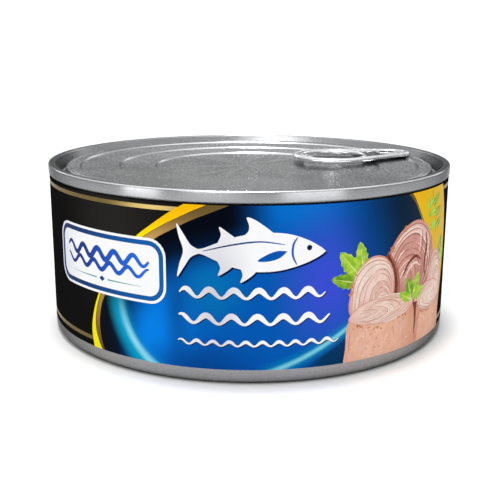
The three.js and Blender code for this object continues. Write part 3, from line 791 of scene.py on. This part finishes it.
def clip(points, keep_above, z):
    """The part of a polygon above or below a height."""
    out = []
    for (ax, az), (bx, bz) in zip(points, points[1:] + points[:1]):
        ia = az >= z if keep_above else az <= z
        ib = bz >= z if keep_above else bz <= z
        if ia:
            out.append((ax, az))
        if ia != ib:
            t = (z - az) / (bz - az)
            out.append((ax + (bx - ax) * t, z))
    return out


def wall_triangles():
    """The wall cut along every shape: points in (s, z), triangles, and each triangle's ink."""
    pts, edges = [], []

    def loop(poly):
        """An outline, with long edges divided so that they follow the round wall."""
        fine = []
        for (ax, az), (bx, bz) in zip(poly, poly[1:] + poly[:1]):
            k = max(1, math.ceil(abs(bx - ax) / 1.5))
            fine += [(ax + (bx - ax) * i / k, az + (bz - az) * i / k) for i in range(k)]
        first = len(pts)
        pts.extend(Vector(p) for p in fine)
        edges.extend((first + i, first + (i + 1) % len(fine)) for i in range(len(fine)))

    cut = []
    for poly, name in shapes:
        poly = clip(clip(poly, True, Z0), False, Z1)
        poly = [p for i, p in enumerate(poly) if math.dist(p, poly[i - 1]) > 0.004]
        if len(poly) > 2:
            cut.append((poly, name))
            loop(poly)
    columns = 184
    for i in range(columns + 1):
        s = -HALF_TURN + 2 * HALF_TURN * i / columns
        rows = 11
        for j in range(rows + 1):
            pts.append(Vector((s, Z0 + (Z1 - Z0) * j / rows)))
    loop([(-HALF_TURN, Z0), (HALF_TURN, Z0), (HALF_TURN, Z1), (-HALF_TURN, Z1)])
    v, _, f, *_ = delaunay_2d_cdt(pts, edges, [], 0, 1e-4)
    v = np.array([(p.x, p.y) for p in v])
    f = np.array([t for t in f if len(t) == 3])
    mid = v[f].mean(1)
    a, b, c = v[f[:, 0]], v[f[:, 1]], v[f[:, 2]]
    area = (b[:, 0] - a[:, 0]) * (c[:, 1] - a[:, 1]) - (b[:, 1] - a[:, 1]) * (c[:, 0] - a[:, 0])
    f[area < 0] = f[area < 0][:, ::-1]
    which = np.zeros(len(f), int)
    for k, (poly, name) in enumerate(cut):
        p = np.array(poly)
        q = np.roll(p, -1, axis=0)
        lo, hi = p.min(0), p.max(0)
        near = np.nonzero(((mid >= lo) & (mid <= hi)).all(1))[0]
        if not len(near):
            continue
        x, y = mid[near, 0][:, None], mid[near, 1][:, None]
        with np.errstate(divide="ignore", invalid="ignore"):
            cross = ((p[:, 1] > y) != (q[:, 1] > y)) & (x < (q[:, 0] - p[:, 0]) * (y - p[:, 1]) / (q[:, 1] - p[:, 1]) + p[:, 0])
        inside = cross.sum(1) % 2 == 1
        which[near[inside]] = k + 1
    names = ["ink_black"] + [n for _, n in cut]
    return v, f, [names[k] for k in which]


# ---- meshes ------------------------------------------------------------------------
def fillet(corners, step=12.0):
    """A (radius, height) profile with its corners rounded: each corner is (r, z, rounding)."""
    out = []
    n = len(corners)
    for i, c in enumerate(corners):
        p = Vector(c[:2])
        rd = c[2] if len(c) > 2 else 0.0
        if not rd or i in (0, n - 1):
            out.append(tuple(p))
            continue
        a, b = (Vector(corners[i - 1][:2]) - p), (Vector(corners[i + 1][:2]) - p)
        half = a.angle(b) / 2
        reach = min(rd / math.tan(half), a.length * 0.49, b.length * 0.49)
        rad = reach * math.tan(half)
        a.normalize()
        b.normalize()
        centre = p + (a + b).normalized() * (rad / math.sin(half))
        start, end = p + a * reach - centre, p + b * reach - centre
        turn = start.angle_signed(end)
        k = max(2, math.ceil(abs(math.degrees(turn)) / step))
        a0 = math.atan2(start.y, start.x)
        cross = start.x * end.y - start.y * end.x
        sweep = math.copysign(abs(turn), cross)
        out += [(centre.x + rad * math.cos(a0 + sweep * j / k), centre.y + rad * math.sin(a0 + sweep * j / k)) for j in range(k + 1)]
    clean = [out[0]]
    for q in out[1:]:
        if math.dist(q, clean[-1]) > 1e-4:
            clean.append(q)
    return clean


class Shell:
    """Collects vertices, faces and their materials for one piece."""

    def __init__(self):
        self.v, self.f, self.m, self.slots = [], [], [], []

    def slot(self, material):
        if material not in self.slots:
            self.slots.append(material)
        return self.slots.index(material)

    def ring(self, r, z, angles, cx=0.0, cy=0.0):
        first = len(self.v)
        self.v += [(cx + r * math.sin(a), cy - r * math.cos(a), z) for a in angles]
        return list(range(first, first + len(angles)))

    def face(self, ids, material):
        self.f.append(tuple(ids))
        self.m.append(self.slot(material))

    def join(self, upper, lower, material):
        """A band of quads between two rings. The first lies above the second as seen from outside."""
        n = len(upper)
        for i in range(n):
            j = (i + 1) % n
            self.face((upper[i], lower[i], lower[j], upper[j]), material)

    def cap(self, ring, z, material, up, cx=0.0, cy=0.0):
        c = len(self.v)
        self.v.append((cx, cy, z))
        n = len(ring)
        for i in range(n):
            j = (i + 1) % n
            self.face((ring[i], ring[j], c) if up else (ring[j], ring[i], c), material)

    def turned(self, profile, count, pick, cx=0.0, cy=0.0):
        """A closed turned body. The profile runs from the axis below, round the outside, to the axis above."""
        angles = [2 * math.pi * i / count for i in range(count)]
        rings = [self.ring(r, z, angles, cx, cy) for r, z in profile[1:-1]]
        self.cap(rings[0], profile[0][1], pick(*profile[1]), False, cx, cy)
        for k in range(len(rings) - 1):
            (ra, za), (rb, zb) = profile[k + 1], profile[k + 2]
            self.join(rings[k + 1], rings[k], pick((ra + rb) / 2, (za + zb) / 2))
        self.cap(rings[-1], profile[-1][1], pick(*profile[-2]), True, cx, cy)

    def piece(self, name, node, sharp=38.0):
        me = bpy.data.meshes.new(name)
        me.from_pydata([(x * MM, y * MM, z * MM) for x, y, z in self.v], [], self.f)
        me.validate()
        for s in self.slots:
            me.materials.append(s)
        me.polygons.foreach_set("material_index", self.m)
        me.polygons.foreach_set("use_smooth", [True] * len(me.polygons))
        me.update()
        me.set_sharp_from_angle(angle=math.radians(sharp))
        ob = bpy.data.objects.new(name, me)
        scene.collection.objects.link(ob)
        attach(ob, "root")
        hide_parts(node)
        return ob


# ---- body: printed wall, heel, underside and neck, in one closed shell ------------
def build_body():
    pts, tris, inks = wall_triangles()
    shell = Shell()
    index, wrap = [], {}
    for s, z in pts:
        if s < -HALF_TURN + 1e-3:
            wrap[round(z, 3)] = len(shell.v)
        if s > HALF_TURN - 1e-3:
            index.append(None)
            continue
        a = s / WALL
        index.append(len(shell.v))
        shell.v.append((WALL * math.sin(a), -WALL * math.cos(a), z))
    for k, (s, z) in enumerate(pts):
        if index[k] is None:
            near = min(wrap, key=lambda w: abs(w - z))
            index[k] = wrap[near]
    for t, name in zip(tris, inks):
        ids = [index[i] for i in t]
        if len(set(ids)) == 3:
            shell.face(ids, INKS[name])
    walls = len(shell.f)

    def boundary(z):
        ids = [(s, index[k]) for k, (s, h) in enumerate(pts) if abs(h - z) < 1e-4 and s < HALF_TURN - 1e-3]
        ids.sort()
        return [i for _, i in ids], [s / WALL for s, _ in ids]

    low, angles = boundary(Z0)
    profile = fillet([
        (WALL, Z0), (WALL, 0.0, HEEL), (39.4, 0.0, 0.35), (38.0, 1.35, 0.5), (33.2, 1.35, 0.3), (32.3, 0.85, 0.3), (30.7, 0.85, 0.3), (29.8, 1.35, 0.3),
        (17.7, 1.35, 0.3), (16.8, 0.85, 0.3), (15.2, 0.85, 0.3), (14.3, 1.35, 0.3), (6.0, 1.35), (2.0, 1.35)], 14.0)
    prev = low
    for k, (r, z) in enumerate(profile[1:]):
        ring = shell.ring(r, z, angles)
        # the lowest rounding of the heel, below 0.25 mm, takes the near-black metal: a painted contact shadow
        shell.join(prev, ring, (foot_shadow_metal if z < 0.25 else heel_metal) if r > 38.5 else base_metal)
        prev = ring
    shell.cap(prev, 1.35, base_metal, False)
    high, angles = boundary(Z1)
    prev = high
    # The neck under the seam takes the black ink: a painted shadow line under the seam.
    for r, z in ((43.3, 33.53), (43.12, 33.6), (43.05, 33.7), (42.0, 33.7), (42.0, 32.4), (20.0, 32.4)):
        ring = shell.ring(r, z, angles)
        shell.join(ring, prev, INKS["ink_black"])
        prev = ring
    shell.cap(prev, 32.4, heel_metal, True)
    ob = shell.piece("body_printed", "can_body")
    # true round normals on the wall
    me = ob.data
    normals = np.zeros(len(me.loops) * 3, np.float32)
    me.corner_normals.foreach_get("vector", normals)
    normals = normals.reshape(-1, 3)
    co = np.zeros(len(me.vertices) * 3, np.float32)
    me.vertices.foreach_get("co", co)
    co = co.reshape(-1, 3)
    which = np.zeros(len(me.loops), np.int32)
    me.loops.foreach_get("vertex_index", which)
    last = me.polygons[walls - 1]
    upto = last.loop_start + last.loop_total
    flat_n = co[which[:upto]].copy()
    flat_n[:, 2] = 0
    normals[:upto] = flat_n / np.linalg.norm(flat_n, axis=1, keepdims=True)
    me.normals_split_custom_set(normals.tolist())
    return ob


body = build_body()


# ---- lid: seam, countersink, stepped panel --------------------------------------------
def build_lid():
    foot = CAN_HEIGHT - SEAM_HEIGHT
    inner = SEAM_RADIUS - SEAM_WIDTH
    corners = [(0.0, LID_FLOOR), (41.95, LID_FLOOR), (41.95, foot), (SEAM_RADIUS - 0.32, foot, 0.06), (SEAM_RADIUS, foot + 0.34, 0.3),
               (SEAM_RADIUS, CAN_HEIGHT, 0.36), (inner, CAN_HEIGHT, 0.36), (41.3, 33.05, 0.5), (40.1, 33.05, 0.45),
               (39.9, LEVELS[0], 0.42), (39.22, LEVELS[0], 0.05), (39.1, LEVELS[0] - 0.1, 0.03), (38.98, LEVELS[0], 0.05)]
    for i, s in enumerate(STEPS):
        corners += [(s + 0.21, LEVELS[i], 0.13), (s - 0.15, LEVELS[i + 1], 0.10)]
    corners += [(14.0, LEVELS[3]), (6.0, LEVELS[3]), (1.5, LEVELS[3]), (0.0, LEVELS[3])]
    shell = Shell()

    def pick(r, z):
        # painted highlight: the seam's top rounding takes the lighter copy of the seam metal
        if z > CAN_HEIGHT - 0.24 and r > SEAM_RADIUS - 0.33:
            return rim_highlight_metal
        if r > inner + 0.45:
            return seam_metal
        # painted highlight: the steps take the lighter copy of the panel metal
        if any(abs(r - s - 0.03) < 0.24 for s in STEPS):
            return step_highlight_metal
        return chuck_metal if r > 41.05 and z > 33.2 else lid_metal

    shell.turned(fillet(corners, 15.0), 288, pick)
    return shell.piece("lid_panel", "lid")


def build_rivet():
    shell = Shell()
    profile = fillet([(0.0, 34.3), (1.6, 34.3), (1.6, 35.5), (2.4, 35.5, 0.08), (2.4, 35.97, 0.16), (2.12, 35.97, 0.08), (1.98, 35.82, 0.08), (0.5, 35.82), (0.0, 35.82)], 15.0)
    # painted shade: the rivet's middle takes the darker metal, its top ring the bright one
    shell.turned(profile, 64, lambda r, z: ring_metal if r > 2.0 and z > 35.5 else rivet_shade_metal, RIVET_AT * math.cos(TAB_ANGLE), RIVET_AT * math.sin(TAB_ANGLE))
    return shell.piece("lid_rivet", "lid")


lid = build_lid()
rivet = build_rivet()


# ---- ring pull ---------------------------------------------------------------------------
BIG, SMALL = Vector((TAB_HALF, 0.0)), Vector((TAB_LENGTH - TAB_NOSE, 0.0))
TOUCH = math.acos((TAB_HALF - TAB_NOSE) / (SMALL.x - BIG.x))


def inside_by(x, y):
    """How far a point of the ring pull lies inside its outline."""
    n = Vector((math.cos(TOUCH), math.sin(TOUCH)))
    along = Vector((math.sin(TOUCH), -math.cos(TOUCH)))
    p = Vector((x, abs(y))) - BIG
    a = p.dot(along)
    if a <= 0:
        return TAB_HALF - p.length
    if a < (SMALL - BIG).dot(along):
        return TAB_HALF - p.dot(n)
    return TAB_NOSE - (Vector((x, abs(y))) - SMALL).length


def outline(d, n=84):
    """The outline moved inwards by d."""
    out = []
    t = math.degrees(TOUCH)
    k = int(n * 0.62)
    for i in range(k + 1):
        a = math.radians(t + (360 - 2 * t) * i / k)
        out.append((BIG.x + (TAB_HALF - d) * math.cos(a), (TAB_HALF - d) * math.sin(a)))
    k = n - k
    m = 12
    end = (SMALL.x + (TAB_NOSE - d) * math.cos(math.radians(-t)), (TAB_NOSE - d) * math.sin(math.radians(-t)))
    start = out[-1]
    out += [(start[0] + (end[0] - start[0]) * i / m, start[1] + (end[1] - start[1]) * i / m) for i in range(1, m)]
    for i in range(k + 1):
        a = math.radians(-t + 2 * t * i / k)
        out.append((SMALL.x + (TAB_NOSE - d) * math.cos(a), (TAB_NOSE - d) * math.sin(a)))
    start, end = out[-1], out[0]
    out += [(start[0] + (end[0] - start[0]) * i / m, start[1] + (end[1] - start[1]) * i / m) for i in range(1, m)]
    return out


def ease(v, lo, hi):
    t = min(1.0, max(0.0, (v - lo) / (hi - lo)))
    return t * t * (3 - 2 * t)


WEB = 0.30
CURL = 0.38
RING_DROP, RING_LONG = 0.32, 17.0  # the finger end is rolled thicker


def tab_heights(x, y):
    """Underside and top of the ring pull above its lowest level."""
    d = max(0.0, inside_by(x, y))
    e = max(0.0, math.hypot(x - FINGER_AT, y) - FINGER_R)
    drop = RING_DROP * (1 - ease(x, RING_LONG - 3.0, RING_LONG))
    wire = (TAB_THICK + drop) / 2
    if d < wire:
        round_by = math.sqrt(max(0.0, wire ** 2 - (wire - d) ** 2))
        rim = wire - drop + round_by
        under = wire - drop - round_by
    else:
        rim = TAB_THICK - (TAB_THICK - WEB) * ease(d, 1.36, 1.64)
        under = -drop
    if e < CURL:
        curve = math.sqrt(max(0.0, 1 - ((CURL - e) / CURL) ** 2)) * (CURL + drop / 2)
        curl = CURL - drop / 2 + curve
        under = max(under, CURL - drop / 2 - curve)
    else:
        curl = 2 * CURL - (2 * CURL - WEB) * ease(e, 0.5, 1.15)
    # a low bead across the web between the hole and the rivet
    bead = WEB + 0.16 * (1 - ease(abs(math.hypot(x - 23.0, y) - 4.05), 0.0, 0.55)) if x < 23.0 else WEB
    top = max(curl if e < 1.6 else 0.0, bead, rim)
    if e < CURL:
        top = curl if d > 1.2 else max(curl, min(rim, curl))
    if d < wire:
        top = rim
    return under, top


def build_tab():
    pts, edges = [], []

    def loop(poly):
        first = len(pts)
        pts.extend(Vector(p) for p in poly)
        edges.extend((first + i, first + (i + 1) % len(poly)) for i in range(len(poly)))

    for d in (0.0, 0.012, 0.045, 0.1, 0.17, 0.26, 0.36, 0.47, 0.59, 0.8, 1.1, 1.36, 1.41, 1.46, 1.5, 1.54, 1.59, 1.64):
        loop(outline(d))
    for e in (0.0, 0.012, 0.045, 0.1, 0.17, 0.26, 0.38, 0.5, 0.62, 0.74, 0.88, 1.02, 1.15):
        loop(oval(FINGER_AT, 0.0, FINGER_R + e, FINGER_R + e, 0, 96))
    hole = oval(23.0, 0.0, 1.95, 1.95, 0, 40)
    loop(hole)
    loop(oval(23.0, 0.0, 2.4, 2.4, 0, 40))
    slot_poly = oval(23.0, 0.0, 3.02, 3.02, 0, 26, 112, 248) + oval(23.0, 0.0, 2.72, 2.72, 0, 26, 112, 248)[::-1]
    loop(slot_poly)
    for r in (3.5, 3.75, 4.05, 4.35, 4.6):
        loop_pts = [p for p in oval(23.0, 0.0, r, r, 0, 44, 100, 260) if inside_by(*p) > 1.2]
        pts.extend(Vector(p) for p in loop_pts)
    for i in range(58):
        for j in range(-19, 20):
            x, y = i * 0.5, j * 0.5
            if inside_by(x, y) > 1.7 and math.hypot(x - FINGER_AT, y) > FINGER_R + 1.3:
                pts.append(Vector((x, y)))
    v, _, f, *_ = delaunay_2d_cdt(pts, edges, [], 0, 1e-5)
    keep = []
    ring_out, ring_in, slot_in = 3.02, 2.72, math.radians(68)
    for t in f:
        if len(t) != 3:
            continue
        m = (v[t[0]] + v[t[1]] + v[t[2]]) / 3
        if inside_by(m.x, m.y) < -1e-6 or math.hypot(m.x - FINGER_AT, m.y) < FINGER_R * math.cos(math.pi / 96) - 1e-4:
            continue
        q = m - Vector((23.0, 0.0))
        if q.length < 1.95 * math.cos(math.pi / 40):
            continue
        off = abs(math.atan2(q.y, -q.x))
        if ring_in < q.length < ring_out and off < slot_in:
            continue
        a, b, c = (v[i] for i in t)
        if (b.x - a.x) * (c.y - a.y) - (b.y - a.y) * (c.x - a.x) < 0:
            t = t[::-1]
        keep.append(tuple(t))
    used = sorted({i for t in keep for i in t})
    place = {}
    shell = Shell()
    ca, sa = math.cos(TAB_ANGLE), math.sin(TAB_ANGLE)
    for i in used:
        x, y = v[i]
        lo, hi = tab_heights(x, y)
        wx, wy = (TAB_START + x) * ca - y * sa, (TAB_START + x) * sa + y * ca
        b = len(shell.v)
        shell.v.append((wx, wy, TAB_UNDER + lo))
        if hi - lo > 1e-4:
            shell.v.append((wx, wy, TAB_UNDER + hi))
            place[i] = (b, b + 1)
        else:
            place[i] = (b, b)
    sides = {}
    for t in keep:
        m = (v[t[0]] + v[t[1]] + v[t[2]]) / 3
        # painted shade: the flat web takes the darker copy of the ring pull's metal
        flat = inside_by(m.x, m.y) > 1.62 and math.hypot(m.x - FINGER_AT, m.y) > FINGER_R + 1.1
        shell.face([place[i][1] for i in t], web_shade_metal if flat else ring_metal)
        shell.face([place[i][0] for i in t[::-1]], ring_metal)
        for k in range(3):
            a, b = t[k], t[(k + 1) % 3]
            sides[(a, b)] = sides.get((a, b), 0) + 1
    for a, b in list(sides):
        if (b, a) not in sides:
            ids = []
            for q in (place[a][0], place[b][0], place[b][1], place[a][1]):
                if q not in ids:
                    ids.append(q)
            if len(ids) > 2:
                shell.face(ids, ring_metal)
    return shell.piece("ring_pull_formed", "ring_pull", 50.0)


tab = build_tab()

# ---- floor ---------------------------------------------------------------------------------
def build_floor():
    n = Nodes("floor_pale")
    _, _, _, v = n.xyz()
    fine = n.noise(v, 0.05, 3.0)
    n.set(color=n.mix(n.ramp(fine, 0.3, 0.7), (0.86, 0.86, 0.86, 1.0), (0.885, 0.885, 0.885, 1.0)), spec=0.0)
    n.set(rough=n.ramp(fine, 0.3, 0.7, 0.85, 0.95))
    bm = bmesh.new()
    bmesh.ops.create_grid(bm, x_segments=12, y_segments=12, size=6.0)
    me = bpy.data.meshes.new("floor")
    bm.to_mesh(me)
    bm.free()
    me.materials.append(n.m)
    ob = bpy.data.objects.new("floor", me)
    scene.collection.objects.link(ob)
    ob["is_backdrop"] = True
    return ob


build_floor()

# ---- light ------------------------------------------------------------------------------------
world = bpy.data.worlds.new("studio")
scene.world = world
world.use_nodes = True
wt = world.node_tree
wt.nodes.clear()


def w_node(kind, **settings):
    n = wt.nodes.new(kind)
    for k, v in settings.items():
        setattr(n, k, v)
    return n


def w_range(source, lo, hi, a, b):
    n = w_node("ShaderNodeMapRange", interpolation_type="SMOOTHSTEP")
    wt.links.new(source, n.inputs["Value"])
    for k, v in (("From Min", lo), ("From Max", hi), ("To Min", a), ("To Max", b)):
        n.inputs[k].default_value = v
    return n.outputs["Result"]


def w_mix(factor, a, b, kind="MIX"):
    n = w_node("ShaderNodeMix", data_type="RGBA", blend_type=kind)
    wt.links.new(factor, n.inputs["Factor"])
    for v, q in ((a, n.inputs[6]), (b, n.inputs[7])):
        if isinstance(v, tuple):
            q.default_value = v
        else:
            wt.links.new(v, q)
    return n.outputs[2]


HORIZON, LOW_SKY, FRONT_SKY, SIDE_SKY = 1.05, 0.30, 0.70, 0.10
HIGH_BACK = 0.76
SUN = 2.1


def grey(v):
    return (v, v, v * 1.005, 1.0)


w_xyz = w_node("ShaderNodeSeparateXYZ")
wt.links.new(w_node("ShaderNodeTexCoord").outputs["Generated"], w_xyz.inputs[0])
w_side = w_node("ShaderNodeMath", operation="ABSOLUTE")
wt.links.new(w_xyz.outputs[0], w_side.inputs[0])
# dim low down, darkest at the sides and in front, bright higher up at the back, white on the far horizon
low_sky = w_mix(w_range(w_side.outputs[0], 0.35, 0.80, 0.0, 1.0), grey(LOW_SKY), grey(SIDE_SKY))
high = w_mix(w_range(w_xyz.outputs[1], -0.15, 0.10, 0.0, 1.0), grey(FRONT_SKY), grey(HIGH_BACK))
sky = w_mix(w_range(w_xyz.outputs[2], 0.175, 0.30, 0.0, 1.0), low_sky, high)
far_side = w_mix(w_range(w_xyz.outputs[1], 0.60, 0.85, 0.0, 1.0), grey(SIDE_SKY), grey(HORIZON))
sky = w_mix(w_range(w_xyz.outputs[2], 0.05, 0.08, 0.0, 1.0), far_side, sky)
w_bg = w_node("ShaderNodeBackground")
wt.links.new(sky, w_bg.inputs["Color"])
w_out = w_node("ShaderNodeOutputWorld")
wt.links.new(w_bg.outputs[0], w_out.inputs[0])


def place(ob, at, aim):
    scene.collection.objects.link(ob)
    ob.location = at
    ob.rotation_mode = "QUATERNION"
    ob.rotation_quaternion = (Vector(aim) - Vector(at)).to_track_quat("-Z", "Y")
    return ob


def lamp(name, at, aim, size, power, size_y=None):
    d = bpy.data.lights.new(name, "AREA")
    d.shape = "RECTANGLE" if size_y else "SQUARE"
    d.size = size
    if size_y:
        d.size_y = size_y
    d.energy = power
    ob = place(bpy.data.objects.new(name, d), at, aim)
    ob.visible_camera = False
    ob.visible_diffuse = False  # these lamps only give the bare metal something to mirror
    return ob


def softbox(name, azimuth, span, low, high, distance, radiance):
    """A flat lamp seen from the can over a span of azimuth (degrees from -Y towards +X) and of heights (metres)."""
    a = math.radians(azimuth)
    wide = 2 * distance * math.tan(math.radians(span / 2))
    tall = high - low
    z = (low + high) / 2
    at = (distance * math.sin(a), -distance * math.cos(a), z)
    return lamp(name, at, (0.0, 0.0, z), wide, radiance * math.pi * wide * tall, tall)


sun = bpy.data.lights.new("overhead", "SUN")
sun.energy = SUN
sun.angle = math.radians(12.0)
place(bpy.data.objects.new("overhead", sun), (-0.03, 0.055, 1.0), (0.0, 0.0, 0.0))
softbox("left_box", -53.5, 19.0, 0.0, 0.09, 0.22, 3.6)
softbox("right_box", 31.0, 30.0, 0.0, 0.09, 0.22, 2.6)
softbox("front_box", -20.0, 34.0, 0.22, 0.36, 0.5, 3.4).visible_diffuse = True
softbox("spark_box", -20.0, 24.0, 0.20, 0.36, 0.5, 15.0)
softbox("back_box", 180.5, 12.0, 0.07, 0.108, 0.5, 0.3)
softbox("strip_box", 180.0, 100.0, 0.54, 0.84, 1.5, 2.0)
lamp("top_box", (0.0, 0.13, 0.5), (0.0, 0.05, 0.0), 0.8, 0.6 * math.pi * 0.8 * 0.34, 0.34)

low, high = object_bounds()
